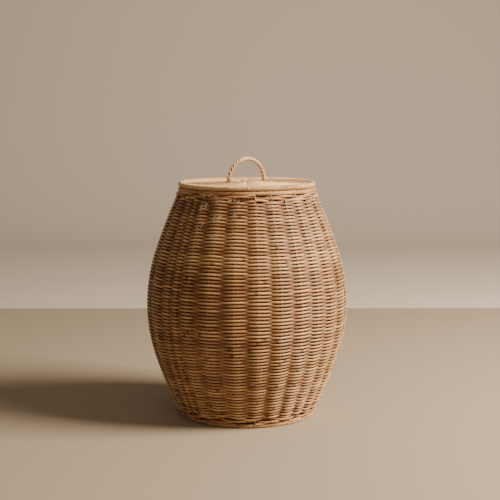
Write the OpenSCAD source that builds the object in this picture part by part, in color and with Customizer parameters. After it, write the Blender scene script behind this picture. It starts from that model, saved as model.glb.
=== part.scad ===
// Round lidded laundry hamper of woven cane, barrel shaped, with a lift-off lid and an arched handle.
// Millimetres. The origin is on the floor under the centre of the base, and +Z is up.

/* [Side wall] */
// Height from the floor to the top of the mouth border
body_h = 572; // [500:1:700]
// Diameter over the strands at the widest point
belly_d = 506; // [420:1:610]
// Height of the widest point above the floor
belly_h = 280; // [240:1:320]
// Radius of the wall's curve around the widest point
belly_curve_r = 420; // [380:5:460]
// Angle from the widest point, up or down, to where the flatter curves begin
belly_curve_angle = 18; // [14:1:20]
// Diameter over the strands at the top of the mouth
mouth_d = 336; // [300:1:350]
// Diameter over the strands at the floor
foot_d = 340; // [300:1:360]

/* [Cane] */
// Diameter of the upright stakes
stake_d = 5.5; // [4:0.5:8]
// Number of stakes, odd so that one strand can wind on without a break
stake_count = 29; // [21:2:35]
// Diameter of the strands woven around the stakes
strand_d = 4; // [3:0.5:5]
// Thickness of the waling strands at the mouth and foot
wale_strand_d = 4.5; // [3:0.5:6]
// Number of courses up the wall, each woven from its own lengths of cane
weave_courses = 6; // [4:1:10]
// Height of the waling band under the mouth border
top_wale_h = 14; // [8:1:24]
// Height of the waling band over the foot border
bottom_wale_h = 14; // [12:1:24]
// Diameter of the rolled borders at the mouth and foot
border_d = 12; // [9:0.5:16]
// Depth of the flat that a rolled border has above and below
border_flat = 0.6; // [0.3:0.1:1]

/* [Base] */
// Diameter of the cane hoop around the base
base_hoop_d = 11; // [9:0.5:14]
// Diameter of the base sticks beyond the centre cross
base_stick_d = 6; // [4:0.5:7]
// Diameter of the base sticks that are split at the centre cross
base_split_d = 10; // [9:0.5:12]

/* [Lid] */
// Diameter of the lid over its wrapped rim
lid_d = 342; // [310:1:370]
// Diameter of the cane hoop inside the lid's rim
lid_hoop_d = 9.5; // [8:0.5:12]
// Thickness of the wrapping around the rim hoop
wrap_t = 1.5; // [1:0.25:2.5]
// Rise of the lid from its rim to its centre
lid_rise = 3.5; // [1:0.5:10]
// Diameter of the lid sticks beyond the centre cross
lid_stick_d = 4; // [3:0.5:5]
// Diameter of the lid sticks that are split at the centre cross
lid_split_d = 7.5; // [7:0.5:10]
// Thickness of the woven strands on each side of the lid sticks
lid_strand_t = 2.6; // [2:0.2:3]
// Thickness of the ring under the lid that keeps it over the mouth
locating_ring_d = 8; // [6:0.5:12]
// Gap all round between the locating ring's lashings and the mouth
locating_gap = 1.5; // [1:0.5:5]
// Width of the lashings that hold the locating ring
ring_lashing_w = 9; // [6:1:14]
// Thickness of the lashings that hold the locating ring
ring_lashing_t = 1.2; // [0.8:0.2:2]
// Number of lashings that hold the locating ring
ring_lashing_count = 8; // [6:1:12]

/* [Handle] */
// Distance between the centres of the handle's two feet
handle_span = 110; // [90:1:140]
// Thickness of the handle's inner cane
handle_core_d = 6; // [5:0.5:8]
// Turn of the handle from the left-right line
handle_turn = 38; // [-80:1:80]
// Height of the lashings at the handle's feet
foot_lashing_h = 9; // [6:1:14]
// Thickness of the lashings at the handle's feet
foot_lashing_t = 3; // [2:0.5:4]

/* [Fits] */
// Clearance between cane pieces that lie against each other
cane_gap = 0.1; // [0.05:0.05:0.2]
// Clearance between the sticks of the base or lid and the weave on each side of them
stick_gap = 0.3; // [0.2:0.1:0.6]
// Gap between the lid's underside and the mouth border
lid_gap = 0.3; // [0.3:0.1:1]
// Depth of the sockets that take the stick ends in the hoops
socket_depth = 3; // [2:0.5:4]

/* [Hidden] */

cane = "#C98F4E";
pale_cane = "#DCAF74";
dark_cane = "#A86F38";
curve_fn = 240;
rod_fn = 32;
wall_steps = 48;
scarf = 2;

// Sticks in a centre cross: the split ones, and the ones that pass through them
split_count = 4;
through_count = 3;
fan_step = 360 / (2 * (through_count + split_count));

// The outer face of the wall is three tangent arcs in the plane through the axis. The middle arc has its
// widest point at belly_h. The arc above ends at the mouth and the arc below ends at the floor. On a slim
// barrel an end arc bends the other way, and its radius comes out negative.
belly_r = belly_d / 2;
mid_centre = [belly_r - belly_curve_r, belly_h];
function curve_end(side) = [mid_centre.x + belly_curve_r * cos(belly_curve_angle),
                            belly_h + side * belly_curve_r * sin(belly_curve_angle)];
function end_point(side) = side > 0 ? [mouth_d / 2, body_h] : [foot_d / 2, 0];
function end_normal(side) = [cos(belly_curve_angle), side * sin(belly_curve_angle)];
function end_curve_r(side) = let (d = end_point(side) - curve_end(side))
    -(d * d) / (2 * (d * end_normal(side)));
function end_centre(side) = curve_end(side) - end_curve_r(side) * end_normal(side);

// Radius of the wall's surface at height z, where inset is the distance inwards from the outer face
function wall_side(z, inset) =
    let (reach = (belly_curve_r - inset) * sin(belly_curve_angle))
    z - belly_h > reach ? 1 : z - belly_h < -reach ? -1 : 0;
function wall_r(z, inset) =
    let (side = wall_side(z, inset),
         centre = side == 0 ? mid_centre : end_centre(side),
         r = (side == 0 ? belly_curve_r : end_curve_r(side)) - inset)
    centre.x + sign(r) * sqrt(r * r - pow(z - centre.y, 2));
function wall_line(z_low, z_high, inset) =
    let (steps = ceil(wall_steps * (z_high - z_low) / body_h))
    [for (i = [0 : steps]) let (z = z_low + (z_high - z_low) * i / steps) [wall_r(z, inset), z]];

// Heights up the wall
foot_top = border_d - 2 * border_flat;
mouth_border_z = body_h - foot_top;
weave_low = foot_top + bottom_wale_h;
weave_high = mouth_border_z - top_wale_h;

// Depths into the wall from its outer face
stake_face = strand_d + cane_gap;
stake_axis = stake_face + stake_d / 2;
stake_back = stake_axis + stake_d / 2 + cane_gap;
wall_t = stake_back + strand_d;
wale_bulge = wale_strand_d - strand_d;

// Borders, base and lid
foot_border_r = wall_r(foot_top, stake_axis);
mouth_border_r = wall_r(mouth_border_z, stake_axis);
base_z = foot_top + base_hoop_d / 2;
base_hoop_r = wall_r(base_z, stake_back + base_hoop_d / 2);
base_reach = base_hoop_r - base_hoop_d / 2 + socket_depth;
base_hole_r = cross_clear_r(base_stick_d, base_split_d);
rim_d = lid_hoop_d + 2 * cane_gap + 2 * wrap_t;
rim_r = lid_d / 2 - rim_d / 2;
lid_z = body_h + lid_gap;
rim_z = lid_z + rim_d / 2;
lid_cross_z = rim_z + lid_rise;
lid_reach = rim_r - lid_hoop_d / 2 + socket_depth;
lid_hole_r = cross_clear_r(lid_stick_d, lid_split_d);
lid_cross_turn = handle_turn - fan_step;
mouth_inner_r = mouth_border_r - border_d / 2;
lashed_ring_d = locating_ring_d + 2 * cane_gap + 2 * ring_lashing_t;
locating_ring_r = mouth_inner_r - locating_gap - lashed_ring_d / 2;
locating_ring_z = lid_under_z(locating_ring_r) - cane_gap - locating_ring_d / 2;

// Handle
handle_r = handle_span / 2;
handle_wrap_d = handle_core_d + 2 * cane_gap + 2 * wrap_t;
leg_hole_d = handle_core_d + 2 * cane_gap;
foot_lashing_d = leg_hole_d + 2 * foot_lashing_t;
handle_foot_z = lid_surface_z(handle_r - foot_lashing_d / 2);
foot_lashing_angle = foot_lashing_h / handle_r * 180 / PI;

// One rod along the wall's curve in the XZ plane: side -1 is the arc from the floor, 0 the middle arc and
// 1 the arc to the mouth. The end arcs are a little thinner and run a short way into the middle one.
module wall_rod(d, inset, sides = [-1, 0, 1]) {
    for (side = sides) {
        centre = side == 0 ? mid_centre : end_centre(side);
        r = (side == 0 ? belly_curve_r : end_curve_r(side)) - inset;
        tip_angle = asin((end_point(side).y - centre.y) / r);
        start_angle = side == 0 ? -belly_curve_angle : side * (belly_curve_angle - scarf / r * 180 / PI);
        sweep = side == 0 ? 2 * belly_curve_angle : tip_angle - start_angle;
        translate([centre.x, 0, centre.y]) rotate([90, 0, 0]) rotate([0, 0, start_angle + (r > 0 ? 0 : 180)])
            rotate_extrude(angle = sweep, $fn = curve_fn) translate([abs(r), 0])
                circle(d = side == 0 ? d : d - cane_gap, $fn = rod_fn);
    }
}

module each_stake() {
    half_step = 180 / stake_count;
    for (i = [0 : stake_count - 1]) rotate([0, 0, -90 + half_step + i * 360 / stake_count]) children();
}

// A band of the wall between two heights and two depths
module wall_band(z_low, z_high, outer, inner) {
    outer_line = wall_line(z_low, z_high, outer);
    inner_line = wall_line(z_low, z_high, inner);
    rotate_extrude($fn = curve_fn)
        polygon(concat(outer_line, [for (i = [len(inner_line) - 1 : -1 : 0]) inner_line[i]]));
}

// The plain weave between two depths: rings of closed weave, one for each course
module woven_courses(outer, inner) {
    course_h = (weave_high - weave_low) / weave_courses;
    for (i = [0 : weave_courses - 1])
        wall_band(weave_low + i * course_h, weave_low + (i + 1) * course_h - cane_gap, outer, inner);
}

module ring(r, d) {
    rotate_extrude($fn = curve_fn) translate([r, 0]) circle(d = d, $fn = rod_fn);
}

// A rolled border: a round rope of cane with a narrow flat above and below
module rolled_border(r, z) {
    rotate_extrude($fn = curve_fn) translate([r, z + foot_top / 2]) intersection() {
        circle(d = border_d, $fn = 2 * rod_fn);
        square([border_d, foot_top], center = true);
    }
}

// The centre cross of a base or lid and the sticks that fan out from it to evenly spaced places on a hoop.
// Four sticks are split, and three others pass through their bores.
function across(i, count) = i - (count - 1) / 2;
function cross_pitch(d) = d + 2 * cane_gap;
function through_pitch(d) = d + 1;
function cross_x(d) = through_pitch(d) * through_count / 2 + d;
function cross_y(d) = cross_pitch(d) * split_count / 2 + d / 2;

// A straight rod between two points
module rod(from, to, d) {
    run = to - from;
    translate(from) rotate([0, acos(run.z / norm(run)), atan2(run.y, run.x)])
        cylinder(d = d, h = norm(run), $fn = rod_fn);
}

function hoop_point(angle, r, drop) = [r * cos(angle), r * sin(angle), -drop];

module through_cross(d, split_d) {
    length = 2 * cross_y(split_d);
    for (i = [0 : through_count - 1])
        translate([across(i, through_count) * through_pitch(d), -length / 2, 0])
            rotate([-90, 0, 0]) cylinder(d = d, h = length, $fn = rod_fn);
}

module split_sticks(d, split_d, r, drop) {
    elbow = cross_x(d);
    for (i = [0 : split_count - 1]) {
        y = across(i, split_count) * cross_pitch(split_d);
        difference() {
            union() {
                translate([-elbow - d / 2, y, 0])
                    rotate([0, 90, 0]) cylinder(d = split_d, h = 2 * elbow + d, $fn = rod_fn);
                for (end = [0, 1]) mirror([end, 0, 0])
                    rod([elbow, y, 0], hoop_point(across(i, split_count) * fan_step, r, drop), d);
            }
            through_cross(d + 2 * cane_gap, split_d);
        }
    }
}

module through_sticks(d, split_d, r, drop) {
    elbow = cross_y(split_d);
    for (i = [0 : through_count - 1]) {
        x = across(i, through_count) * through_pitch(d);
        translate([x, -elbow, 0]) rotate([-90, 0, 0]) cylinder(d = d, h = 2 * elbow, $fn = rod_fn);
        for (end = [0, 1]) mirror([0, end, 0]) {
            translate([x, elbow, 0]) sphere(d = d + 6 * cane_gap, $fn = rod_fn);
            rod([x, elbow, 0], hoop_point(90 - across(i, through_count) * fan_step, r, drop), d);
        }
    }
}

module all_sticks(d, split_d, r, drop) {
    split_sticks(d, split_d, r, drop);
    through_sticks(d, split_d, r, drop);
}

// Radius that clears the centre cross
function cross_clear_r(d, split_d) =
    norm([cross_x(d) + d / 2, cross_pitch(split_d) * split_count / 2]) + cane_gap;

// Weave on one side of the sticks: a disc that falls by drop from the cross to the reach of the sticks.
// side is 1 above the sticks and -1 below, and the edge follows the hoop, whose centre is hoop_dz higher.
module woven_disc(side, stick_d, hole_r, reach, drop, t, hoop_r, hoop_d, hoop_dz) {
    near = side * (stick_d / 2 + stick_gap);
    far = near + side * t;
    slope = drop / (reach - hole_r);
    rim_inner_r = hoop_r - hoop_d / 2;
    rotate_extrude($fn = curve_fn) difference() {
        polygon([[hole_r, near], [hoop_r, near - slope * (hoop_r - hole_r)],
                 [rim_inner_r, far - slope * (rim_inner_r - hole_r)], [hole_r, far]]);
        translate([hoop_r, hoop_dz]) circle(d = hoop_d + 2 * cane_gap, $fn = 2 * rod_fn);
    }
}

// Basket

module foot_border() {
    color(dark_cane) rolled_border(foot_border_r, 0);
}

module bottom_wale() {
    color(pale_cane) wall_band(foot_top, weave_low, -wale_bulge, strand_d);
}

module side_stakes() {
    color(dark_cane) intersection() {
        each_stake() wall_rod(stake_d, stake_axis);
        translate([0, 0, foot_top]) cylinder(r = belly_r, h = mouth_border_z - foot_top, $fn = curve_fn);
    }
}

module outer_weave() {
    color(cane) woven_courses(0, strand_d);
}

module inner_weave() {
    color(dark_cane) woven_courses(stake_back, wall_t);
}

module top_wale() {
    color(pale_cane) difference() {
        wall_band(weave_high, mouth_border_z, 0, wall_t);
        each_stake() wall_rod(stake_d + 2 * cane_gap, stake_axis, [1]);
    }
}

module mouth_border() {
    color(cane) rolled_border(mouth_border_r, mouth_border_z);
}

// Base

module base_hoop() {
    color(dark_cane) translate([0, 0, base_z]) difference() {
        ring(base_hoop_r, base_hoop_d);
        all_sticks(base_stick_d + 2 * cane_gap, base_split_d, base_reach, 0);
    }
}

module base_split_sticks() {
    color(dark_cane) translate([0, 0, base_z])
        split_sticks(base_stick_d, base_split_d, base_reach, 0);
}

module base_through_sticks() {
    color(cane) translate([0, 0, base_z])
        through_sticks(base_stick_d, base_split_d, base_reach, 0);
}

module base_weave(side) {
    translate([0, 0, base_z])
        woven_disc(side, base_stick_d, base_hole_r, base_reach, 0, strand_d, base_hoop_r, base_hoop_d, 0);
}

module base_upper_weave() {
    color(cane) base_weave(1);
}

module base_lower_weave() {
    color(dark_cane) base_weave(-1);
}

// Lid

// Heights of the lid's upper and under faces at a distance from its centre
function lid_fall(r) = lid_rise * (r - lid_hole_r) / (lid_reach - lid_hole_r);
function lid_surface_z(r) = lid_cross_z + lid_stick_d / 2 + stick_gap + lid_strand_t - lid_fall(r);
function lid_under_z(r) = lid_cross_z - lid_stick_d / 2 - stick_gap - lid_strand_t - lid_fall(r);

// Children placed at the lid's centre cross, turned so that the handle's feet fall between two sticks
module on_lid_cross() {
    translate([0, 0, lid_cross_z]) rotate([0, 0, lid_cross_turn]) children();
}

module each_foot() {
    rotate([0, 0, handle_turn]) for (end = [-1, 1]) translate([end * handle_r, 0, 0]) children();
}

module lid_hoop() {
    color(dark_cane) difference() {
        translate([0, 0, rim_z]) ring(rim_r, lid_hoop_d);
        on_lid_cross() all_sticks(lid_stick_d + 2 * cane_gap, lid_split_d, lid_reach, lid_rise);
    }
}

module lid_rim_wrapping() {
    color(pale_cane) difference() {
        translate([0, 0, rim_z]) rotate_extrude($fn = curve_fn) translate([rim_r, 0]) difference() {
            circle(d = rim_d, $fn = 2 * rod_fn);
            circle(d = lid_hoop_d + 2 * cane_gap, $fn = rod_fn);
        }
        on_lid_cross() all_sticks(lid_stick_d + 2 * cane_gap, lid_split_d, lid_reach, lid_rise);
    }
}

module lid_split_sticks() {
    color(dark_cane) on_lid_cross() split_sticks(lid_stick_d, lid_split_d, lid_reach, lid_rise);
}

module lid_through_sticks() {
    color(cane) on_lid_cross() through_sticks(lid_stick_d, lid_split_d, lid_reach, lid_rise);
}

module lid_weave(side) {
    difference() {
        translate([0, 0, lid_cross_z])
            woven_disc(side, lid_stick_d, lid_hole_r, lid_reach, lid_rise, lid_strand_t,
                       rim_r, rim_d, rim_z - lid_cross_z);
        translate([0, 0, lid_z - lid_strand_t]) each_foot()
            cylinder(d = leg_hole_d, h = handle_span, $fn = rod_fn);
    }
}

module lid_upper_weave() {
    color(pale_cane) lid_weave(1);
}

module lid_lower_weave() {
    color(cane) lid_weave(-1);
}

// Cane ring under the lid that drops inside the mouth and keeps the lid central
module locating_ring() {
    color(dark_cane) translate([0, 0, locating_ring_z]) ring(locating_ring_r, locating_ring_d);
}

// Lashings that tie the locating ring to the weave: flat bands of cane around the ring, open at the weave
module ring_lashings() {
    band_angle = ring_lashing_w / locating_ring_r * 180 / PI;
    band_top = locating_ring_d / 2;
    color(pale_cane) for (i = [0 : ring_lashing_count - 1])
        rotate([0, 0, (i + 0.5) * 360 / ring_lashing_count - band_angle / 2])
            rotate_extrude(angle = band_angle, $fn = curve_fn)
                translate([locating_ring_r, locating_ring_z]) difference() {
                    circle(d = lashed_ring_d, $fn = 2 * rod_fn);
                    circle(d = locating_ring_d + 2 * cane_gap, $fn = 2 * rod_fn);
                    translate([-lashed_ring_d / 2, band_top]) square(lashed_ring_d);
                }
}

// Handle: a bent cane whose two legs pass through the lid's weave, wrapped above it and lashed at its feet

module arch(d) {
    rotate([90, 0, 0]) rotate_extrude(angle = 180, $fn = curve_fn)
        translate([handle_r, 0]) circle(d = d, $fn = rod_fn);
}

// The legs are a little thinner than the arch and run a short way into it
module handle_core() {
    color(dark_cane) {
        translate([0, 0, handle_foot_z]) rotate([0, 0, handle_turn]) arch(handle_core_d);
        translate([0, 0, lid_z]) each_foot()
            cylinder(d = handle_core_d - cane_gap, h = handle_foot_z + scarf - lid_z, $fn = rod_fn);
    }
}

// A sleeve around the handle's cane, over a stretch of its arch
module arch_sleeve(d, start, sweep) {
    translate([0, 0, handle_foot_z]) rotate([0, 0, handle_turn]) rotate([90, 0, 0]) rotate([0, 0, start])
        rotate_extrude(angle = sweep, $fn = curve_fn) translate([handle_r, 0]) difference() {
            circle(d = d, $fn = 2 * rod_fn);
            circle(d = leg_hole_d, $fn = 2 * rod_fn);
        }
}

module handle_wrapping() {
    color(pale_cane) arch_sleeve(handle_wrap_d, foot_lashing_angle, 180 - 2 * foot_lashing_angle);
}

// Crossed lashings around the feet of the handle
module handle_lashings() {
    color(cane) for (start = [0, 180 - foot_lashing_angle])
        arch_sleeve(foot_lashing_d, start, foot_lashing_angle);
}

foot_border();
bottom_wale();
side_stakes();
outer_weave();
inner_weave();
top_wale();
mouth_border();
base_hoop();
base_split_sticks();
base_through_sticks();
base_upper_weave();
base_lower_weave();
lid_hoop();
lid_rim_wrapping();
lid_split_sticks();
lid_through_sticks();
lid_upper_weave();
lid_lower_weave();
locating_ring();
ring_lashings();
handle_core();
handle_wrapping();
handle_lashings();
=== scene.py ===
# %% [markdown]
# # A round laundry hamper of woven cane
# The hamper is a barrel: upright stakes, one thin strand woven in and out of them all the way up, a rolled
# border at the foot and the mouth, and a flat woven lid with a wrapped rim and an arched handle. The packed
# CAD model is the fixed frame. It says where each piece is and how large it may be, and the looks are made
# around it in metres.

# %% The frame
from math import cos, hypot, pi, radians, sin, tau

import bpy
from mathutils import Matrix, Vector


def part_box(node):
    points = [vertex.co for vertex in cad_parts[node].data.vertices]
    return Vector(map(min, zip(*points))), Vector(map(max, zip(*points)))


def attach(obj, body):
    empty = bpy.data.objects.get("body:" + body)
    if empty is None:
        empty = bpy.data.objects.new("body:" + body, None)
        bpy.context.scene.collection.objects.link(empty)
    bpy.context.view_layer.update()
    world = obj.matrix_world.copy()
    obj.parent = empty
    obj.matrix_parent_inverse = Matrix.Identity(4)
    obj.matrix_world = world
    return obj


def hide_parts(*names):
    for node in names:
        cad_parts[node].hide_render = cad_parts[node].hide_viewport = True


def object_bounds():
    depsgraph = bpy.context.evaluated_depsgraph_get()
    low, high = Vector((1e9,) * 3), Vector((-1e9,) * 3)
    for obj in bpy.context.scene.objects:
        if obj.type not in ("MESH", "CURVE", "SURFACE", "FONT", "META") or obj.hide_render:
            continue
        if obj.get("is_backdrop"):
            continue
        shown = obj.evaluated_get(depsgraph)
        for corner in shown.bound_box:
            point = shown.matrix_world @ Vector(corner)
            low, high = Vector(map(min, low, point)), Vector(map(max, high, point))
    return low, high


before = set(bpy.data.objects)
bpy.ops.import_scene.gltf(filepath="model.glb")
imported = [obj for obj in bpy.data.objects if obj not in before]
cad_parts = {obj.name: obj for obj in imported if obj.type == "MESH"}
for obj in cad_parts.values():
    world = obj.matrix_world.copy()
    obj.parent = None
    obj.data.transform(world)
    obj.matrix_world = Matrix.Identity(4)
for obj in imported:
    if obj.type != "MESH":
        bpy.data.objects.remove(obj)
cad_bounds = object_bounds()
MM = 0.001

# %% [markdown]
# ## Camera, floor and light
# The camera comes first, because every later choice of detail is judged through it. It stands about three
# metres away at table height with a long lens, so the barrel shows little perspective. The floor and the
# wall behind it are one plain sheet in two pale tones. It only serves to catch the shadow and to throw
# light back, and its wall stands far enough away for a camera to walk round the hamper. One large soft
# light on the right stands for a window, which leaves the left side of the barrel in warm shade.

# %% Camera
CAMERA_DISTANCE = 2.946
CAMERA_HEIGHT = 0.792
CAMERA_DOWN = radians(7.35)
CAMERA_SIDE = radians(0.155)
FOCAL = 1183.0 / 500.0
SENSOR = 36.0

camera_data = bpy.data.cameras.new("camera")
camera_data.sensor_width = SENSOR
camera_data.lens = FOCAL * SENSOR
camera_data.clip_end = 30
camera = bpy.data.objects.new("camera", camera_data)
camera.location = (0, -CAMERA_DISTANCE, CAMERA_HEIGHT)
camera.rotation_euler = (pi / 2 - CAMERA_DOWN, 0, -CAMERA_SIDE)
bpy.context.scene.collection.objects.link(camera)
bpy.context.scene.camera = camera
print(f"lens {camera_data.lens:.1f} mm")

# %% Floor and wall
def plain_material(name, colour, roughness):
    """A matt finish for what isn't part of the object."""
    material = bpy.data.materials.new(name)
    material.use_nodes = True
    shader = material.node_tree.nodes["Principled BSDF"]
    shader.inputs["Base Color"].default_value = (*colour, 1)
    shader.inputs["Roughness"].default_value = roughness
    shader.inputs["Specular IOR Level"].default_value = 0.2
    return material


def mesh_object(name, vertices, faces, material=None):
    mesh = bpy.data.meshes.new(name)
    mesh.from_pydata(vertices, [], faces)
    mesh.update()
    if material:
        mesh.materials.append(material)
    made = bpy.data.objects.new(name, mesh)
    bpy.context.scene.collection.objects.link(made)
    return made


def backdrop(half_width, front, seam, back, height, bend, steps, floor_material, wall_material):
    """A floor that sweeps up into a wall through a quarter circle, in a paler tone behind the seam."""
    side = [(-front, 0.0), (seam, 0.0)]
    side += [(back - bend + bend * sin(a), bend - bend * cos(a)) for a in
             (pi / 2 * i / steps for i in range(steps + 1))]
    side.append((back, height))
    vertices = [(x, y, z) for y, z in side for x in (-half_width, half_width)]
    faces = [(2 * i, 2 * i + 1, 2 * i + 3, 2 * i + 2) for i in range(len(side) - 1)]
    sheet = mesh_object("backdrop", vertices, faces, floor_material)
    sheet.data.materials.append(wall_material)
    for face in sheet.data.polygons:
        face.use_smooth = True
        face.material_index = min(face.index, 1)
    sheet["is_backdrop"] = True
    return sheet


FLOOR_COLOUR = (0.36, 0.27, 0.18)
WALL_COLOUR = (0.62, 0.51, 0.41)
backdrop(half_width=6.0, front=6.0, seam=1.47, back=4.6, height=5.0, bend=1.2, steps=24,
         floor_material=plain_material("pale_floor", FLOOR_COLOUR, 0.9),
         wall_material=plain_material("pale_wall", WALL_COLOUR, 0.9))
print("backdrop in two tones")


# %% Light
def area_light(name, position, target, size, power, colour):
    data = bpy.data.lights.new(name, "AREA")
    data.shape = "RECTANGLE"
    data.size, data.size_y = size
    data.energy = power
    data.color = colour
    light = bpy.data.objects.new(name, data)
    light.location = position
    light.rotation_euler = (Vector(target) - Vector(position)).to_track_quat("-Z", "Y").to_euler()
    bpy.context.scene.collection.objects.link(light)
    return light


area_light("window", position=(2.65, -0.72, 2.3), target=(0, 0, 0.4), size=(1.5, 1.7), power=375,
           colour=(1.0, 0.94, 0.84))
area_light("room", position=(0.4, -3.4, 2.6), target=(0, 0, 0.5), size=(2.5, 2.0), power=10,
           colour=(1.0, 0.93, 0.85))
world = bpy.data.worlds.new("studio")
world.use_nodes = True
world.node_tree.nodes["Background"].inputs["Color"].default_value = (0.62, 0.55, 0.47, 1)
world.node_tree.nodes["Background"].inputs["Strength"].default_value = 0.35
bpy.context.scene.world = world
print("lights", sorted(light.name for light in bpy.data.lights if light.users))

# %% [markdown]
# ## Formulas as node trees
# A woven strand follows a rule: it climbs a little on each turn and swings out and in once for every two
# stakes. Geometry Nodes can hold such a rule, but a long formula is hard to read as dozens of Math nodes.
# The small class below lets a socket be used in ordinary arithmetic, and adds the nodes as it goes. It
# serves geometry trees and shader trees alike.

# %% Arithmetic on sockets
class Field:
    """A value in a node tree. Arithmetic on it adds Math nodes."""

    def __init__(self, tree, socket):
        self.tree, self.socket = tree, socket

    def math(self, operation, *others):
        return math_node(self.tree, operation, self, *others)

    def __add__(self, other):
        return self.math("ADD", other)

    def __radd__(self, other):
        return self.math("ADD", other)

    def __sub__(self, other):
        return self.math("SUBTRACT", other)

    def __rsub__(self, other):
        return math_node(self.tree, "SUBTRACT", other, self)

    def __mul__(self, other):
        return self.math("MULTIPLY", other)

    def __rmul__(self, other):
        return self.math("MULTIPLY", other)

    def __truediv__(self, other):
        return self.math("DIVIDE", other)

    def __rtruediv__(self, other):
        return math_node(self.tree, "DIVIDE", other, self)

    def __neg__(self):
        return self.math("MULTIPLY", -1.0)

    def sin(self):
        return self.math("SINE")

    def cos(self):
        return self.math("COSINE")

    def floor(self):
        return self.math("FLOOR")

    def fraction(self):
        return self.math("FRACT")

    def clamp(self):
        limited = self.math("MULTIPLY", 1.0)
        limited.socket.node.use_clamp = True
        return limited


def plug(tree, source, socket):
    """Connects a field, or sets a plain value."""
    if isinstance(source, Field):
        tree.links.new(source.socket, socket)
    elif source is not None:
        socket.default_value = source


def math_node(tree, operation, *values):
    node = tree.nodes.new("ShaderNodeMath")
    node.operation = operation
    for value, socket in zip(values, node.inputs):
        plug(tree, value, socket)
    return Field(tree, node.outputs[0])


print("arithmetic by name", sorted(name for name in vars(Field) if not name.startswith("_")))


# %% Nodes and trees by name
def add_node(tree, kind, settings=None, **inputs):
    """Adds a node. Settings are its properties, and inputs go to the sockets of those names."""
    node = tree.nodes.new(kind)
    for name, value in (settings or {}).items():
        setattr(node, name, value)
    for name, value in inputs.items():
        plug(tree, value, node.inputs[name.replace("_", " ")])
    return node


def combine(tree, x, y, z):
    node = add_node(tree, "ShaderNodeCombineXYZ", X=x, Y=y, Z=z)
    return Field(tree, node.outputs[0])


def separate(vector):
    node = add_node(vector.tree, "ShaderNodeSeparateXYZ", Vector=vector)
    return [Field(vector.tree, output) for output in node.outputs]


def new_tree(name, kind, inputs, outputs):
    """A node group with named inputs and outputs: each is (name, socket type, default)."""
    tree = bpy.data.node_groups.new(name, kind)
    for label, socket_type, default in inputs:
        socket = tree.interface.new_socket(name=label, in_out="INPUT", socket_type=socket_type)
        if default is not None:
            socket.default_value = default
    for label, socket_type in outputs:
        tree.interface.new_socket(name=label, in_out="OUTPUT", socket_type=socket_type)
    group_input = tree.nodes.new("NodeGroupInput")
    group_output = tree.nodes.new("NodeGroupOutput")
    fields = {label: Field(tree, group_input.outputs[label]) for label, _, _ in inputs}
    return tree, fields, group_output


GEOMETRY, OBJECT, MATERIAL = "NodeSocketGeometry", "NodeSocketObject", "NodeSocketMaterial"
FLOAT, INT, VECTOR, COLOUR = "NodeSocketFloat", "NodeSocketInt", "NodeSocketVector", "NodeSocketColor"
print("socket kinds", len({GEOMETRY, OBJECT, MATERIAL, FLOAT, INT, VECTOR, COLOUR}))

# %% [markdown]
# ## The shape of the wall
# The stakes of a real hamper are pushed into the base, bent up and drawn in at the mouth, and every woven
# row follows them. So the one line that matters is the line of the stakes' centres. It is measured from
# the two CAD shells on either side of the stakes, which keeps the weave true to the packed model.

# %% Lines measured from the CAD
def height_spans(node):
    """The least and greatest radius at each height where a turned CAD node has vertices."""
    spans = {}
    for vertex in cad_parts[node].data.vertices:
        key = round(vertex.co.z, 5)
        radius = hypot(vertex.co.x, vertex.co.y)
        low, high = spans.get(key, (radius, radius))
        spans[key] = (min(low, radius), max(high, radius))
    return spans


def carried_on(before, end, z):
    """The point at height z on the straight line through two (radius, height) points."""
    slope = (end[0] - before[0]) / (end[1] - before[1])
    return end[0] + slope * (z - end[1]), z


def stake_line(z_low, z_high):
    """Centres of the stakes as (radius, height), carried on in a straight line at both ends."""
    outer = height_spans("outer_weave")
    inner = height_spans("inner_weave")
    heights = sorted(z for z in outer if z in inner and outer[z][1] - outer[z][0] > 0.5 * MM)
    line = [(0.5 * (outer[z][0] + inner[z][1]), z) for z in heights]
    first = carried_on(line[1], line[0], z_low)
    last = carried_on(line[-2], line[-1], z_high)
    return [first, *line, last]


def line_length(line):
    return sum(hypot(b[0] - a[0], b[1] - a[1]) for a, b in zip(line, line[1:]))


def profile_curve(name, line):
    """A poly curve in the XZ plane through (radius, height) points, for the trees to follow."""
    curve = bpy.data.curves.new(name, "CURVE")
    curve.dimensions = "3D"
    spline = curve.splines.new("POLY")
    spline.points.add(len(line) - 1)
    for point, (radius, z) in zip(spline.points, line):
        point.co = (radius, 0, z, 1)
    made = bpy.data.objects.new(name, curve)
    bpy.context.scene.collection.objects.link(made)
    made.hide_render = True
    return made


FOOT_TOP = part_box("foot_border")[1].z
MOUTH_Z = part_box("mouth_border")[0].z
line = stake_line(FOOT_TOP, MOUTH_Z)
wall_curve = profile_curve("stake_line", line)
wall_length = line_length(line)
radii = [radius for radius, _ in line]
print(f"stake line {wall_length:.4f} m, radius {min(radii):.4f} to {max(radii):.4f}")

# %% [markdown]
# ## One strand, woven
# A weaver is a single long cane. It starts at the foot, passes in front of one stake and behind the next,
# and climbs one strand's thickness on each turn. With an odd number of stakes it falls on the other side
# of every stake the next time round, so one strand makes the whole checkered wall. Between two stakes the
# cane swings from front to back in a smooth wave. By hand the rows never lie quite level and the stakes are
# never quite evenly spaced, so the tree has named amounts for both.

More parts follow.
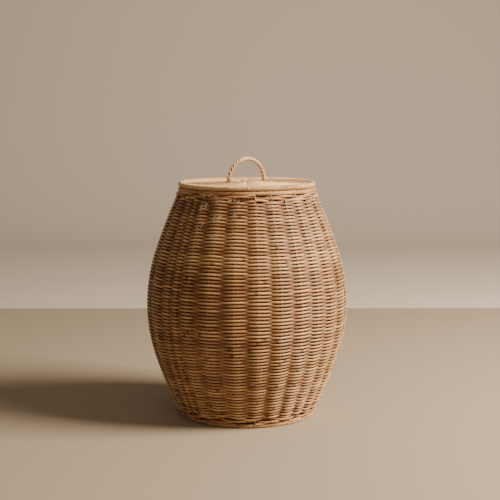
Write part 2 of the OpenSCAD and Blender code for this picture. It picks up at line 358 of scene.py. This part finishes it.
# %% Uneven spacing and position on the profile, as reusable groups
def uneven_spacing_tree():
    """Angle in, angle out: shifts the stakes sideways in slow waves, as hand weaving does."""
    waves = ((3, 2.17, -65), (5, 2.99, 38), (7, 1.34, 177))
    tree, given, out = new_tree("Uneven spacing", "GeometryNodeTree",
                                [("Angle", FLOAT, 0.0), ("Amount", FLOAT, 1.0)], [("Angle", FLOAT)])
    from_front = given["Angle"] + pi / 2
    shift = None
    for count, size, lead in waves:
        wave = (from_front * count + radians(lead)).sin() * radians(size)
        shift = wave if shift is None else shift + wave
    plug(tree, given["Angle"] + shift * given["Amount"], out.inputs["Angle"])
    return tree


def on_profile_tree():
    """A point at a length along the profile, pushed out from it and turned about the axis."""
    tree, given, out = new_tree("On profile", "GeometryNodeTree",
                                [("Profile", OBJECT, None), ("Length", FLOAT, 0.0), ("Out", FLOAT, 0.0),
                                 ("Angle", FLOAT, 0.0)],
                                [("Position", VECTOR), ("Normal", VECTOR)])
    info = add_node(tree, "GeometryNodeObjectInfo", Object=given["Profile"])
    sample = add_node(tree, "GeometryNodeSampleCurve", {"mode": "LENGTH"},
                      Curves=Field(tree, info.outputs["Geometry"]), Length=given["Length"])
    place = separate(Field(tree, sample.outputs["Position"]))
    along = separate(Field(tree, sample.outputs["Tangent"]))
    radius = place[0] + along[2] * given["Out"]
    height = place[2] - along[0] * given["Out"]
    cosine, sine = given["Angle"].cos(), given["Angle"].sin()
    plug(tree, combine(tree, radius * cosine, radius * sine, height), out.inputs["Position"])
    plug(tree, combine(tree, along[2] * cosine, along[2] * sine, -along[0]), out.inputs["Normal"])
    return tree


uneven_spacing = uneven_spacing_tree()
on_profile = on_profile_tree()
print("reusable groups", [made.name for made in (uneven_spacing, on_profile)])


# %% Groups, stored values and a swept section
def group(tree, inner, **inputs):
    """Uses one node group inside another tree and gives its outputs as fields."""
    kind = "GeometryNodeGroup" if inner.bl_idname == "GeometryNodeTree" else "ShaderNodeGroup"
    node = tree.nodes.new(kind)
    node.node_tree = inner
    for name, value in inputs.items():
        plug(tree, value, node.inputs[name.replace("_", " ")])
    return {output.name: Field(tree, output) for output in node.outputs}


def store(tree, geometry, name, value, kind="FLOAT"):
    node = add_node(tree, "GeometryNodeStoreNamedAttribute", {"data_type": kind},
                    Geometry=geometry, Name=name, Value=value)
    return Field(tree, node.outputs["Geometry"])


def sweep(tree, curve, half_width, half_thickness, sides, material):
    """Sweeps an oval section along a curve, keeps the place on the section as a vector for the grain to
    use, and finishes the mesh."""
    circle = add_node(tree, "GeometryNodeCurvePrimitiveCircle", Resolution=sides, Radius=1.0)
    position = Field(tree, tree.nodes.new("GeometryNodeInputPosition").outputs[0])
    section = store(tree, Field(tree, circle.outputs["Curve"]), "section", position, "FLOAT_VECTOR")
    oval = add_node(tree, "GeometryNodeTransform", Geometry=section,
                    Scale=combine(tree, half_thickness, half_width, 1.0))
    mesh = add_node(tree, "GeometryNodeCurveToMesh", Curve=curve, Fill_Caps=True,
                    Profile_Curve=Field(tree, oval.outputs["Geometry"]))
    smooth = add_node(tree, "GeometryNodeSetShadeSmooth", Geometry=Field(tree, mesh.outputs["Mesh"]))
    real = add_node(tree, "GeometryNodeRealizeInstances",
                    Geometry=Field(tree, smooth.outputs["Geometry"]))
    done = add_node(tree, "GeometryNodeSetMaterial", Geometry=Field(tree, real.outputs["Geometry"]),
                    Material=material)
    return Field(tree, done.outputs["Geometry"])


# %% Points, curves and noise
def lines_of_points(tree, lines, points_each):
    """Several separate lines of points. Gives the mesh, the number of each point's line, and the share of
    the way along it."""
    whole = add_node(tree, "GeometryNodeMeshLine", Count=lines * points_each)
    index = Field(tree, tree.nodes.new("GeometryNodeInputIndex").outputs[0])
    last = index.math("FLOORED_MODULO", points_each).math("COMPARE", points_each - 1.0, 0.1)
    cut = add_node(tree, "GeometryNodeDeleteGeometry", {"domain": "EDGE", "mode": "EDGE_FACE"},
                   Geometry=Field(tree, whole.outputs["Mesh"]), Selection=last)
    number = ((index + 0.5) / points_each).floor()
    share = (index - number * points_each) / (points_each - 1.0)
    return Field(tree, cut.outputs["Geometry"]), number, share


def as_curve(tree, points, place, attributes, normal=None, closed=None):
    """Puts the points in place, joins them as curves and keeps named values on them."""
    for name, value in attributes.items():
        points = store(tree, points, name, value)
    if normal is not None:
        points = store(tree, points, "facing", normal, "FLOAT_VECTOR")
    moved = add_node(tree, "GeometryNodeSetPosition", Geometry=points, Position=place)
    curve = add_node(tree, "GeometryNodeMeshToCurve", Mesh=Field(tree, moved.outputs["Geometry"]))
    curve = Field(tree, curve.outputs["Curve"])
    if closed is not None:
        cyclic = add_node(tree, "GeometryNodeSetSplineCyclic", Geometry=curve, Cyclic=closed)
        curve = Field(tree, cyclic.outputs["Geometry"])
    if normal is not None:
        facing = add_node(tree, "GeometryNodeInputNamedAttribute", {"data_type": "FLOAT_VECTOR"},
                          Name="facing")
        turned = add_node(tree, "GeometryNodeSetCurveNormal", {"mode": "FREE"}, Curve=curve,
                          Normal=Field(tree, facing.outputs["Attribute"]))
        curve = Field(tree, turned.outputs["Curve"])
    return curve


def noise(tree, vector, scale, seed, detail=0.0):
    """Smooth noise between about -1 and 1."""
    node = add_node(tree, "ShaderNodeTexNoise", {"noise_dimensions": "4D"}, Vector=vector, W=seed,
                    Scale=scale, Detail=detail)
    return (Field(tree, node.outputs[0]) - 0.5) * 2.0


# %% The woven strand
BELLY_R = 0.24
TURN_LENGTH = 1.4
SHARPNESS = 0.1


def woven_strand_tree():
    """A strand that winds up a profile and swings in front of the stakes and behind them."""
    tree, given, out = new_tree("Woven strand", "GeometryNodeTree", [
        ("Profile", OBJECT, None), ("Stakes", FLOAT, 29.0), ("Stakes per wave", FLOAT, 2.0),
        ("Points per wave", FLOAT, 12.0), ("First row", FLOAT, 0.0), ("Rows", FLOAT, 10.0),
        ("Start", FLOAT, 0.0), ("Row pitch", FLOAT, 0.0042), ("Phase", FLOAT, 0.0),
        ("Swing", FLOAT, 0.00475), ("Swing bias", FLOAT, 0.0), ("Swing limit", FLOAT, 0.00475),
        ("Half width", FLOAT, 0.002), ("Half thickness", FLOAT, 0.002), ("First angle", FLOAT, 0.0),
        ("Uneven stakes", FLOAT, 0.0), ("Waver", FLOAT, 0.0), ("Jitter", FLOAT, 0.0),
        ("Seed", FLOAT, 0.0), ("Material", MATERIAL, None)], [("Geometry", GEOMETRY)])
    per_row = given["Stakes"] / given["Stakes per wave"] * given["Points per wave"]
    points, _, share = lines_of_points(tree, 1.0, given["Rows"] * per_row + 1.0)
    turn = given["First row"] + share * given["Rows"]
    angle = given["First angle"] + turn * tau
    spaced = group(tree, uneven_spacing, Angle=angle, Amount=given["Uneven stakes"])["Angle"]
    wave = (turn * given["Stakes"] / given["Stakes per wave"] * tau + given["Phase"]).cos()
    wave = wave * (1.0 - SHARPNESS) + wave * wave * wave * SHARPNESS
    swing = (wave * given["Swing"] + given["Swing bias"]).math("MINIMUM", given["Swing limit"])
    level = given["Start"] + turn * given["Row pitch"]
    spot = combine(tree, angle.cos() * BELLY_R, angle.sin() * BELLY_R, level)
    slow = noise(tree, spot, 11.0, given["Seed"])
    fine = noise(tree, combine(tree, turn * 31.0, 0.0, 0.0), 1.0, given["Seed"])
    deep = noise(tree, combine(tree, turn * 31.0, 9.0, 0.0), 1.0, given["Seed"])
    place = group(tree, on_profile, Profile=given["Profile"], Angle=spaced,
                  Length=level + slow * given["Waver"] + fine * given["Jitter"],
                  Out=swing + deep * given["Jitter"])
    # front, how far the strand stands out, sets the painted shade on its parts behind the stakes
    curve = as_curve(tree, points, place["Position"],
                     {"run": turn * TURN_LENGTH + given["Seed"], "front": swing / given["Swing"]},
                     place["Normal"])
    plug(tree, sweep(tree, curve, given["Half width"], given["Half thickness"], 8, given["Material"]),
         out.inputs["Geometry"])
    return tree


woven_strand = woven_strand_tree()


print(woven_strand.name, "has", len(woven_strand.nodes), "nodes")


# %% Growing a piece
def grown(name, tree, **inputs):
    """Runs a tree on an empty mesh, with its inputs set by name, and keeps the result as a plain mesh."""
    carrier = mesh_object(name, [(0, 0, 0)], [])
    modifier = carrier.modifiers.new("growth", "NODES")
    modifier.node_group = tree
    for item in tree.interface.items_tree:
        key = item.name.replace(" ", "_")
        if item.item_type == "SOCKET" and item.in_out == "INPUT" and key in inputs:
            modifier[item.identifier] = inputs.pop(key)
    if inputs:
        raise ValueError(f"{tree.name} has no inputs {sorted(inputs)}")
    bpy.context.view_layer.update()
    evaluated = carrier.evaluated_get(bpy.context.evaluated_depsgraph_get())
    mesh = bpy.data.meshes.new_from_object(evaluated)
    mesh.name = name
    carrier.modifiers.remove(modifier)
    carrier.data = mesh
    mesh.calc_loop_triangles()
    print(f"{name}: {len(mesh.loop_triangles)} triangles")
    return carrier


# %% [markdown]
# ## Cane
# Cane for baskets is the whole stem or the split skin of a climbing palm. It is honey coloured, with fine
# fibres along its length, a slightly darker ring at each joint of the stem, and a satin skin. Every length
# has its own tone. The parts of the weave that lie behind the crests are painted darker, as painted shade
# in the gaps. The strands carry three named values from their trees: how far along the cane a point
# is, where it lies around the section, and how far it stands out to the front, which sets that painted
# shade.

# %% Colours, noise and mixing
def card(red, green, blue):
    """A colour given as on a paint card, 0 to 255, turned into linear light."""
    return tuple(((c / 255 + 0.055) / 1.055) ** 2.4 if c > 10 else c / 3295 for c in (red, green, blue))


def shader_noise(tree, vector, scale, detail=2.0):
    node = add_node(tree, "ShaderNodeTexNoise", {"noise_dimensions": "3D"}, Vector=vector, Scale=scale,
                    Detail=detail)
    return Field(tree, node.outputs[0])


def ramp(value, low, high):
    """0 below low, 1 above high, and smooth between."""
    node = add_node(value.tree, "ShaderNodeMapRange", {"interpolation_type": "SMOOTHSTEP"}, Value=value)
    node.inputs["From Min"].default_value = low
    node.inputs["From Max"].default_value = high
    return Field(value.tree, node.outputs["Result"])


def mixed(tree, factor, a, b, blend="MIX"):
    node = tree.nodes.new("ShaderNodeMix")
    node.data_type = "RGBA"
    node.blend_type = blend
    for value, label in ((factor, "Factor_Float"), (a, "A_Color"), (b, "B_Color")):
        socket = next(s for s in node.inputs if s.identifier == label)
        plug(tree, (*value, 1) if isinstance(value, tuple) and len(value) == 3 else value, socket)
    return Field(tree, next(s for s in node.outputs if s.identifier == "Result_Color"))


# %% The grain of cane, as a shader group
def cane_grain_tree():
    """Colour, roughness and bump of cane from the place along it and around it, with painted shade where it
    lies behind.
    """
    tree, given, out = new_tree("Cane grain", "ShaderNodeTree", [
        ("Run", FLOAT, 0.0), ("Section", VECTOR, None), ("Front", FLOAT, 1.0), ("Pale", COLOUR, None),
        ("Deep", COLOUR, None), ("Cane length", FLOAT, 1.8), ("Joint spacing", FLOAT, 0.31),
        ("Fibre", FLOAT, 0.35), ("Shaded back", FLOAT, 0.3)],
        [("Color", COLOUR), ("Roughness", FLOAT), ("Height", FLOAT)])
    run, section = given["Run"], separate(given["Section"])
    length = (run / given["Cane length"]).floor()
    tone = add_node(tree, "ShaderNodeTexWhiteNoise", {"noise_dimensions": "1D"}, W=length)
    tone = Field(tree, tone.outputs["Value"])
    across = combine(tree, run * 9.0, section[0] * 1.6, section[1] * 1.6)
    fibres = shader_noise(tree, across, 2.2, 3.0)
    patches = shader_noise(tree, combine(tree, run * 1.0, tone * 40.0, 0.0), 5.0)
    place = (run / given["Joint spacing"] + tone * 7.0).fraction() - 0.5
    joint = 1.0 - ramp(place.math("ABSOLUTE"), 0.004, 0.022)
    light = 0.55 + (tone - 0.5) * 0.5 + (patches - 0.5) * 0.6 + (fibres - 0.5) * given["Fibre"] * 2.0
    # painted shade: the less a strand stands out to the front, the darker its colour is painted
    light = light + (given["Front"] * 0.5 - 0.5) * given["Shaded back"] - joint * 0.55
    colour = mixed(tree, light.clamp(), given["Deep"], given["Pale"])
    plug(tree, colour, out.inputs["Color"])
    plug(tree, 0.36 + fibres * 0.2 + joint * 0.1, out.inputs["Roughness"])
    plug(tree, fibres * 0.7 + joint * 0.8, out.inputs["Height"])
    return tree


cane_grain = cane_grain_tree()
print(cane_grain.name, "has", len(cane_grain.nodes), "nodes")


# %% A cane finish for swept strands
def attribute(tree, name, output="Fac"):
    node = add_node(tree, "ShaderNodeAttribute", {"attribute_name": name})
    return Field(tree, node.outputs[output])


def cane_material(name, pale, deep, **amounts):
    """Cane for swept strands, which carry run, section and front."""
    material = bpy.data.materials.new(name)
    material.use_nodes = True
    tree = material.node_tree
    shader = tree.nodes["Principled BSDF"]
    grain = group(tree, cane_grain, Run=attribute(tree, "run"), Section=attribute(tree, "section", "Vector"),
                  Front=attribute(tree, "front"), Pale=(*pale, 1), Deep=(*deep, 1), **amounts)
    finish_cane(tree, shader, grain)
    return material


def finish_cane(tree, shader, grain):
    bump = add_node(tree, "ShaderNodeBump", Height=grain["Height"], Strength=0.5, Distance=0.15 * MM)
    plug(tree, Field(tree, bump.outputs[0]), shader.inputs["Normal"])
    plug(tree, grain["Color"], shader.inputs["Base Color"])
    plug(tree, grain["Roughness"], shader.inputs["Roughness"])
    shader.inputs["Specular IOR Level"].default_value = 0.5
    shader.inputs["Sheen Weight"].default_value = 0.05


# %% The same cane on the packed sticks and hoops
HOOP_R = 0.16
SECTIONS_PER_METRE = 180.0
RADIAL_TWIST = 0.2


def packed_cane_material(name, pale, deep, around, **amounts):
    """Cane for CAD sticks and hoops. The grain follows circles about the axis, or runs out from it."""
    material = bpy.data.materials.new(name)
    material.use_nodes = True
    tree = material.node_tree
    place = add_node(tree, "ShaderNodeTexCoord")
    x, y, z = separate(Field(tree, place.outputs["Object"]))
    reach = (x * x + y * y).math("SQRT")
    turn = y.math("ARCTAN2", x) * HOOP_R
    along, sideways = (turn, reach) if around else (reach + turn * RADIAL_TWIST, turn)
    section = combine(tree, sideways * SECTIONS_PER_METRE, z * SECTIONS_PER_METRE, 0.0)
    # Front 0.4 gives the sticks and hoops a little painted shade
    grain = group(tree, cane_grain, Run=along, Section=section, Front=0.4, Pale=(*pale, 1),
                  Deep=(*deep, 1), **amounts)
    finish_cane(tree, tree.nodes["Principled BSDF"], grain)
    return material


PALE, DEEP = card(226, 180, 122), card(120, 72, 32)
materials = {
    # the wall cane gets strong painted shade on the parts behind its crests
    "wall_weave": cane_material("wall_cane", PALE, DEEP, Shaded_back=0.8),
    "wale_cane": cane_material("wale_cane", card(222, 176, 122), card(150, 96, 50), Cane_length=2.3),
    "border_cane": cane_material("border_cane", card(214, 166, 112), card(140, 86, 44), Cane_length=0.9),
    "stake_cane": cane_material("stake_cane", card(168, 116, 66), card(100, 60, 30), Cane_length=0.7),
    "base_weave": cane_material("base_cane", card(206, 156, 104), card(128, 80, 40)),
    # the lid's cane is given paler than the wall's: painted light for the lid's top, which faces the lamp
    "lid_weave": cane_material("lid_cane", card(252, 226, 176), card(206, 156, 98), Cane_length=1.4),
    "wrapping_cane": cane_material("wrapping_cane", card(240, 200, 146), card(174, 118, 64),
                                   Cane_length=0.8),
    "handle_cane": cane_material("handle_cane", card(236, 190, 132), card(178, 112, 58), Cane_length=0.3),
}
hoop_cane = packed_cane_material("hoop_cane", card(190, 140, 88), card(120, 74, 38), True)
stick_cane = packed_cane_material("stick_cane", card(200, 150, 98), card(126, 78, 40), False)
print("cane materials", len(materials) + 2)

# %% [markdown]
# ## Placing a piece
# Each finished piece rides on a body of the CAD model, hides the CAD nodes it stands in for, and takes its
# finish from the table of cane materials by the name of a slot.

# %% Grow, place and name a piece
def piece(name, tree, body, slot, nodes, **inputs):
    made = grown(name, tree, Material=materials[slot], **inputs)
    return placed(made, body, nodes)


def placed(made, body, nodes):
    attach(made, body)
    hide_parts(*nodes)
    return made


def finish_nodes(material, *nodes):
    """Gives CAD nodes that keep their own shape a finish."""
    for node in nodes:
        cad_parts[node].data.materials.clear()
        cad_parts[node].data.materials.append(material)


# %% [markdown]
# ## The woven wall
# Twenty-nine stakes and one strand of four-millimetre cane make the wall. The strand is grown in four
# stretches, so that no mesh is too heavy, and each stretch takes up the count where the last one ended.
# Under the mouth and over the foot run three rows of waling, where a thicker strand passes in front of two
# stakes and behind one. That locks the plain weave in place.

# %% Wall weave
STAKES = 29.0
FIRST_STAKE = -pi / 2 + pi / STAKES
STRAND_HALF_WIDTH = 2.65 * MM
STRAND_HALF_THICKNESS = 2.05 * MM
ROW_PITCH = 4.2 * MM
SWING = 4.35 * MM
WALE_HALF_WIDTH = 2.75 * MM
WALE_HALF_THICKNESS = 2.3 * MM
WALE_PITCH = 4.6 * MM
WALE_ROWS = 3.0
hand = {"Uneven_stakes": 1.0, "Waver": 2.0 * MM}
wall = {"Profile": wall_curve, "Stakes": STAKES, "First_angle": FIRST_STAKE, **hand}
wale_height = WALE_ROWS * WALE_PITCH
weave_start = wale_height + 0.5 * WALE_PITCH
weave_rows = (wall_length - 2 * weave_start) / ROW_PITCH
STRETCHES = 4
for i in range(STRETCHES):
    first = round(weave_rows * i / STRETCHES)
    last = round(weave_rows * (i + 1) / STRETCHES)
    piece(f"wall_weave_{i + 1}", woven_strand, "basket", "wall_weave", ("outer_weave", "inner_weave"),
          First_row=float(first), Rows=float(last - first), Start=weave_start, Row_pitch=ROW_PITCH,
          Swing=SWING, Swing_limit=2 * SWING, Half_width=STRAND_HALF_WIDTH,
          Half_thickness=STRAND_HALF_THICKNESS, Jitter=0.12 * MM, Seed=3.0, **wall)

# %% Waling at the foot and mouth
for name, start, node in (("foot_waling", 0.5 * WALE_PITCH, "bottom_wale"),
                          ("mouth_waling", wall_length - wale_height, "top_wale")):
    piece(name, woven_strand, "basket", "wale_cane", (node,), Rows=WALE_ROWS, Start=start,
          Row_pitch=WALE_PITCH, Stakes_per_wave=3.0, Points_per_wave=16.0, Swing=6.2 * MM,
          Swing_bias=1.4 * MM, Swing_limit=5.3 * MM, Half_width=WALE_HALF_WIDTH,
          Half_thickness=WALE_HALF_THICKNESS, Jitter=0.12 * MM, Seed=8.0, **wall)


# %% Stakes
def stakes_tree():
    """Upright stakes on the profile, each with a slight lean of its own."""
    tree, given, out = new_tree("Stakes", "GeometryNodeTree", [
        ("Profile", OBJECT, None), ("Length", FLOAT, 0.6), ("Stakes", FLOAT, 29.0),
        ("Points each", FLOAT, 40.0), ("First angle", FLOAT, 0.0), ("Uneven stakes", FLOAT, 0.0),
        ("Stake radius", FLOAT, 0.0027), ("Waver", FLOAT, 0.0), ("Seed", FLOAT, 0.0),
        ("Material", MATERIAL, None)], [("Geometry", GEOMETRY)])
    points, number, share = lines_of_points(tree, given["Stakes"], given["Points each"])
    angle = given["First angle"] + number * tau / given["Stakes"]
    spaced = group(tree, uneven_spacing, Angle=angle, Amount=given["Uneven stakes"])["Angle"]
    lean = noise(tree, combine(tree, share * 3.0, number * 2.7, 0.0), 1.0, given["Seed"])
    level = share * given["Length"]
    place = group(tree, on_profile, Profile=given["Profile"], Length=level, Out=0.0,
                  Angle=spaced + lean * given["Waver"])
    # front 0.4 gives the stakes painted shade, as parts lying behind the weave
    curve = as_curve(tree, points, place["Position"], {"run": level + number * 0.71, "front": 0.4})
    radius = given["Stake radius"]
    plug(tree, sweep(tree, curve, radius, radius, 8, given["Material"]), out.inputs["Geometry"])
    return tree


piece("stakes", stakes_tree(), "basket", "stake_cane", ("side_stakes",), Profile=wall_curve,
      Length=wall_length, Stakes=STAKES, First_angle=FIRST_STAKE, Uneven_stakes=1.0,
      Stake_radius=2.7 * MM, Waver=0.001)
print("stakes", int(STAKES))

# %% [markdown]
# ## Coils: borders, wrapping and lashing
# The rolled borders, the wrapped rim, the lashings and the handle are all strands wound around something
# round. One tree serves them all: a number of coils follow a ring, each winding around the ring's line a
# given number of turns. Many strands with few turns make a rope. One flat strand with hundreds of turns
# makes close wrapping.

# %% Coils on a ring
def coils_tree():
    """A number of strands along a ring, each wound around the ring's own line."""
    tree, given, out = new_tree("Coils on a ring", "GeometryNodeTree", [
        ("Coils", FLOAT, 1.0), ("Points each", FLOAT, 400.0), ("Ring radius", FLOAT, 0.16),
        ("Ring height", FLOAT, 0.0), ("First angle", FLOAT, 0.0), ("Angle step", FLOAT, 0.0),
        ("Sweep", FLOAT, tau), ("Turns", FLOAT, 10.0), ("First phase", FLOAT, 0.0),
        ("Phase step", FLOAT, 0.0), ("Coil radius", FLOAT, 0.005), ("Flatten", FLOAT, 1.0),
        ("Half width", FLOAT, 0.002), ("Half thickness", FLOAT, 0.002), ("Jitter", FLOAT, 0.0),
        ("Closed", "NodeSocketBool", False), ("Sides", INT, 8), ("Seed", FLOAT, 0.0),
        ("Material", MATERIAL, None)], [("Geometry", GEOMETRY)])
    points, number, share = lines_of_points(tree, given["Coils"], given["Points each"])
    share = share * given["Points each"].math("SUBTRACT", given["Closed"]) / given["Points each"]
    angle = given["First angle"] + number * given["Angle step"] + share * given["Sweep"]
    phase = given["First phase"] + number * given["Phase step"] + share * given["Turns"] * tau
    spot = combine(tree, share * given["Turns"] * 1.7, number * 5.3, 0.0)
    shake = noise(tree, spot, 1.0, given["Seed"]) * given["Jitter"]
    shift = noise(tree, spot, 1.0, given["Seed"] + 9.0) * given["Jitter"] / given["Ring radius"]
    angle = angle + shift
    coil = given["Coil radius"] + shake
    radius = given["Ring radius"] + phase.cos() * coil
    height = given["Ring height"] + phase.sin() * coil * given["Flatten"]
    place = combine(tree, angle.cos() * radius, angle.sin() * radius, height)
    facing = combine(tree, angle.cos() * phase.cos(), angle.sin() * phase.cos(), phase.sin())
    wound = given["Turns"].math("ABSOLUTE") * given["Coil radius"] * tau
    length = given["Sweep"] * given["Ring radius"] + wound
    run = share * length + number * 1.7 + given["Seed"]
    curve = as_curve(tree, points, place, {"run": run, "front": 1.0}, facing, given["Closed"])
    plug(tree, sweep(tree, curve, given["Half width"], given["Half thickness"], given["Sides"],
                     given["Material"]), out.inputs["Geometry"])
    return tree


coils = coils_tree()
print(coils.name, "has", len(coils.nodes), "nodes")


def ring_of(node):
    """Centre-line radius, centre height, and section width and height of a CAD ring about the axis."""
    low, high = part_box(node)
    radii = [hypot(v.co.x, v.co.y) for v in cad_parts[node].data.vertices]
    width = max(radii) - min(radii)
    return 0.5 * (max(radii) + min(radii)), 0.5 * (low.z + high.z), width, high.z - low.z


# %% Rolled borders
BORDER_STRANDS = 5.0
BORDER_STRAND_R = 2.45 * MM
for name, node, turns, seed in (("foot_border_canes", "foot_border", 13.0, 20.0),
                                ("mouth_border_canes", "mouth_border", 12.0, 30.0)):
    radius, height, width, depth = ring_of(node)
    strand = BORDER_STRAND_R
    piece(name, coils, "basket", "border_cane", (node,), Coils=BORDER_STRANDS, Points_each=340.0,
          Ring_radius=radius, Ring_height=height, Turns=turns, Phase_step=tau / BORDER_STRANDS,
          Coil_radius=width / 2 - strand, Flatten=(depth / 2 - strand) / (width / 2 - strand),
          Half_width=strand, Half_thickness=strand, Closed=True, Jitter=0.2 * MM, Seed=seed)


# %% [markdown]
# ## The flat base
# The base is woven first on a real hamper. Four thick sticks are split in the middle and three others are
# pushed through the slits, which makes the cross in the centre. Their ends are opened out like the spokes
# of a wheel and woven round. There are fourteen spokes, an even number, so two strands chase each other and
# each fills the rows that the other leaves out.

# %% Woven discs
def spoke_reach(node, hoop_node):
    """Radii between which the spokes of a disc show, from the centre cross out to the hoop."""
    inner = min(hypot(v.co.x, v.co.y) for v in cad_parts[node].data.vertices)
    ring_radius, _, width, _ = ring_of(hoop_node)
    return round(inner, 4), ring_radius - width / 2


def woven_disc(name, line, body, slot, nodes, spokes, first_angle, pitch, swing, strand_r, seed):
    length = line_length(line)
    curve = profile_curve(name + "_line", line)
    rows = (length - 2 * strand_r) / (2 * pitch)
    for i in range(2):
        piece(f"{name}_{i + 1}", woven_strand, body, slot, nodes, Profile=curve, Stakes=spokes,
              First_angle=first_angle, Points_per_wave=24.0, Rows=rows, Start=strand_r + i * pitch,
              Row_pitch=2 * pitch, Phase=i * pi, Swing=swing, Swing_limit=2 * swing,
              Half_width=strand_r, Half_thickness=strand_r, Waver=0.8 * MM, Jitter=0.15 * MM,
              Seed=seed + i * 0.37)


SPOKES = 14.0
base_z = 0.5 * (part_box("base_lower_weave")[0].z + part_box("base_upper_weave")[1].z)
base_in, base_out = spoke_reach("base_upper_weave", "base_hoop")
print(f"base spokes at height {base_z:.4f} from {base_in:.4f} to {base_out:.4f}")
woven_disc("base_weave", [(base_in, base_z), (base_out, base_z)], "basket", "base_weave",
           ("base_upper_weave", "base_lower_weave"), SPOKES, first_angle=0.0, pitch=4.2 * MM,
           swing=5.0 * MM, strand_r=2.05 * MM, seed=40.0)
finish_nodes(hoop_cane, "base_hoop")
finish_nodes(stick_cane, "base_split_sticks", "base_through_sticks")

# %% [markdown]
# ## The lid
# The lid is a second, finer disc. Its spokes end in a hoop, and one flat strand of split cane is wound
# round and round the hoop until nothing of it shows. The wrapping is what catches the light along the
# lid's edge.

# %% Lid weave
lid_in, lid_out = spoke_reach("lid_upper_weave", "lid_hoop")
stick_low, stick_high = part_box("lid_through_sticks")
LID_SPOKE_R = 2.0 * MM
HANDLE_TURN = radians(38.0)
lid_centre_z = stick_high.z - LID_SPOKE_R - 0.3 * MM
lid_edge_z = stick_low.z + LID_SPOKE_R
lid_line = [(lid_in, lid_centre_z), (lid_out, lid_edge_z)]
lid_first = HANDLE_TURN - pi / SPOKES
woven_disc("lid_weave", lid_line, "lid", "lid_weave", ("lid_upper_weave", "lid_lower_weave"), SPOKES,
           first_angle=lid_first, pitch=2.8 * MM, swing=3.2 * MM, strand_r=1.38 * MM, seed=50.0)
print(f"lid spokes at height {lid_centre_z:.4f} from {lid_in:.4f} to {lid_out:.4f}")

# %% Wrapped rim
rim_radius, rim_z, rim_width, _ = ring_of("lid_rim_wrapping")
WRAPS = 372.0
WRAP_HALF = 0.95 * MM
piece("rim_wrapping", coils, "lid", "wrapping_cane", ("lid_rim_wrapping",), Points_each=WRAPS * 12,
      Ring_radius=rim_radius, Ring_height=rim_z, Turns=WRAPS, Coil_radius=rim_width / 2 - WRAP_HALF,
      Half_width=1.22 * MM, Half_thickness=WRAP_HALF, Closed=True, Jitter=0.1 * MM, Sides=6, Seed=60.0)

# %% Ring under the lid
ring_radius, ring_z, ring_width, _ = ring_of("locating_ring")
LASHINGS = 8.0
LASH_TURNS = 3.5
lashing_w = 9.0 * MM
piece("ring_lashings", coils, "lid", "wrapping_cane", ("ring_lashings",), Coils=LASHINGS,
      Points_each=60.0, Ring_radius=ring_radius, Ring_height=ring_z,
      First_angle=pi / LASHINGS - lashing_w / ring_radius / 2, Angle_step=tau / LASHINGS,
      Sweep=lashing_w / ring_radius, Turns=LASH_TURNS, First_phase=pi / 2,
      Coil_radius=ring_width / 2 + 0.55 * MM, Half_width=1.25 * MM, Half_thickness=0.5 * MM, Sides=6,
      Jitter=0.1 * MM, Seed=65.0)
finish_nodes(hoop_cane, "locating_ring", "lid_hoop")
finish_nodes(stick_cane, "lid_split_sticks", "lid_through_sticks")

# %% [markdown]
# ## The handle
# A cane is bent into an arch and its legs go down through the lid's weave. Two thinner canes twist up
# around it, the top of the arch is bound closely so that it's kind to the hand, and crossed lashings hold
# the feet.

# %% Handle
CORE_R = 3.0 * MM
ARCH_R = 55.0 * MM
arch_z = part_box("handle_core")[1].z - ARCH_R - CORE_R
print(f"handle arch centre at {arch_z:.4f}")


def on_arch(made):
    """Turns a ring made flat about the Z axis into the upright plane of the handle's arch."""
    upright = Matrix.Rotation(HANDLE_TURN, 4, "Z") @ Matrix.Rotation(pi / 2, 4, "X")
    made.data.transform(Matrix.Translation((0, 0, arch_z)) @ upright)
    made.data.update()
    return made


def arch_piece(name, slot, nodes, **inputs):
    made = on_arch(grown(name, coils, Material=materials[slot], Ring_radius=ARCH_R, **inputs))
    return placed(made, "lid", nodes)


arch_piece("handle_twist", "handle_cane", ("handle_wrapping",), Coils=3.0, Points_each=160.0,
           First_angle=radians(3), Sweep=radians(174), Turns=5.0, Phase_step=tau / 3,
           Coil_radius=CORE_R + 0.8 * MM, Half_width=2.1 * MM, Half_thickness=1.35 * MM, Seed=70.0)
arch_piece("handle_binding", "wrapping_cane", ("handle_wrapping",), Points_each=260.0,
           First_angle=radians(68), Sweep=radians(48), Turns=17.0, Coil_radius=CORE_R + 1.9 * MM,
           Half_width=1.35 * MM, Half_thickness=0.45 * MM, Sides=6, Seed=72.0)
for i, turns in enumerate((2.5, -2.5)):
    for j, start in enumerate((0.5, 170.0)):
        arch_piece(f"foot_lashing_{i + 1}_{j + 1}", "wrapping_cane", ("handle_lashings",),
                   Points_each=60.0, First_angle=radians(start), Sweep=radians(9.5), Turns=turns,
                   First_phase=radians(40), Coil_radius=CORE_R + (1.9 + 0.8 * i) * MM,
                   Half_width=1.2 * MM, Half_thickness=0.45 * MM, Sides=6, Seed=75.0 + i + 2 * j)
finish_nodes(stick_cane, "handle_core")

# %% Size of the finished model against the CAD
scene_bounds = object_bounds()
for label, (lowest, highest) in (("cad", cad_bounds), ("scene", scene_bounds)):
    print(label, [round(high - low, 4) for low, high in zip(lowest, highest)])
